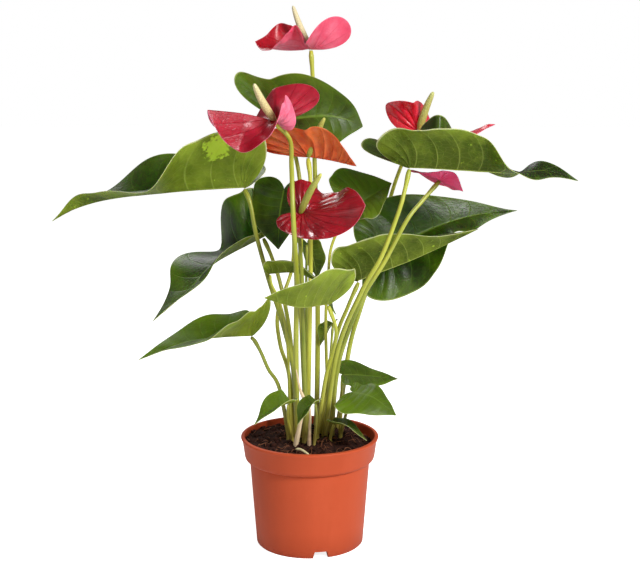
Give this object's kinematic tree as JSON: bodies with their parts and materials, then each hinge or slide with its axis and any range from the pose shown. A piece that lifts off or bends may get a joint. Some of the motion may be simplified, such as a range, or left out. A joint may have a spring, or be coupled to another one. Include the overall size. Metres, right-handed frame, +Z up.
{
  "type": "potted anthurium",
  "caption": "Potted anthurium: glossy heart-shaped leaves and red heart-shaped spathes with finger-like spadices on slender stems, in a round tapered nursery pot.",
  "frame": {"origin": "centre of the pot's underside, on the pot's axis, on the surface that it stands on", "axes": "+Z up along the pot's axis, +X to the right and +Y to the back as the plant is seen from its front"},
  "size_m": [0.4402, 0.2065, 0.4652],
  "materials": {
    "terracotta_plastic": "satin",
    "potting_soil": "matte",
    "leaf_green": "satin",
    "stem_green": "satin",
    "spathe_red": "gloss",
    "spathe_orange": "gloss",
    "spathe_pink": "gloss",
    "spadix_cream": "matte",
    "dry_sheath": "matte"
  },
  "bodies": {
    "root": {"pot": "terracotta_plastic", "soil": "potting_soil", "leaf_left_large": "leaf_green", "petiole_left_large": "stem_green", "leaf_back_top": "leaf_green", "petiole_back_top": "stem_green", "leaf_left_middle": "leaf_green", "petiole_left_middle": "stem_green", "leaf_behind_left": "leaf_green", "petiole_behind_left": "stem_green", "leaf_low_left": "leaf_green", "petiole_low_left": "stem_green", "leaf_centre_pale": "leaf_green", "petiole_centre_pale": "stem_green", "leaf_right_dark": "leaf_green", "petiole_right_dark": "stem_green", "leaf_right_pale": "leaf_green", "petiole_right_pale": "stem_green", "leaf_right_high": "leaf_green", "petiole_right_high": "stem_green", "leaf_behind_right": "leaf_green", "petiole_behind_right": "stem_green", "leaf_round_dark": "leaf_green", "petiole_round_dark": "stem_green", "leaf_young_folded": "leaf_green", "petiole_young_folded": "stem_green", "leaf_behind_stems": "leaf_green", "petiole_behind_stems": "stem_green", "leaf_low_right_dark": "leaf_green", "petiole_low_right_dark": "stem_green", "leaf_low_right_pale": "leaf_green", "petiole_low_right_pale": "stem_green", "leaf_base_left": "leaf_green", "petiole_base_left": "stem_green", "leaf_base_centre": "leaf_green", "petiole_base_centre": "stem_green", "leaf_base_right": "leaf_green", "petiole_base_right": "stem_green", "spathe_top": "spathe_red", "stalk_top": "stem_green", "spadix_top": "spadix_cream", "spathe_left": "spathe_red", "stalk_left": "stem_green", "spadix_left": "spadix_cream", "spathe_orange": "spathe_orange", "stalk_orange": "stem_green", "spadix_orange": "spadix_cream", "spathe_front": "spathe_red", "stalk_front": "stem_green", "spadix_front": "spadix_cream", "spathe_right_back": "spathe_red", "stalk_right_back": "stem_green", "spadix_right_back": "spadix_cream", "spathe_right_pink": "spathe_pink", "stalk_right_pink": "stem_green", "spadix_right_pink": "spadix_cream", "dry_sheath_long": "dry_sheath", "dry_sheath_short": "dry_sheath"}
  },
  "joints": []
}
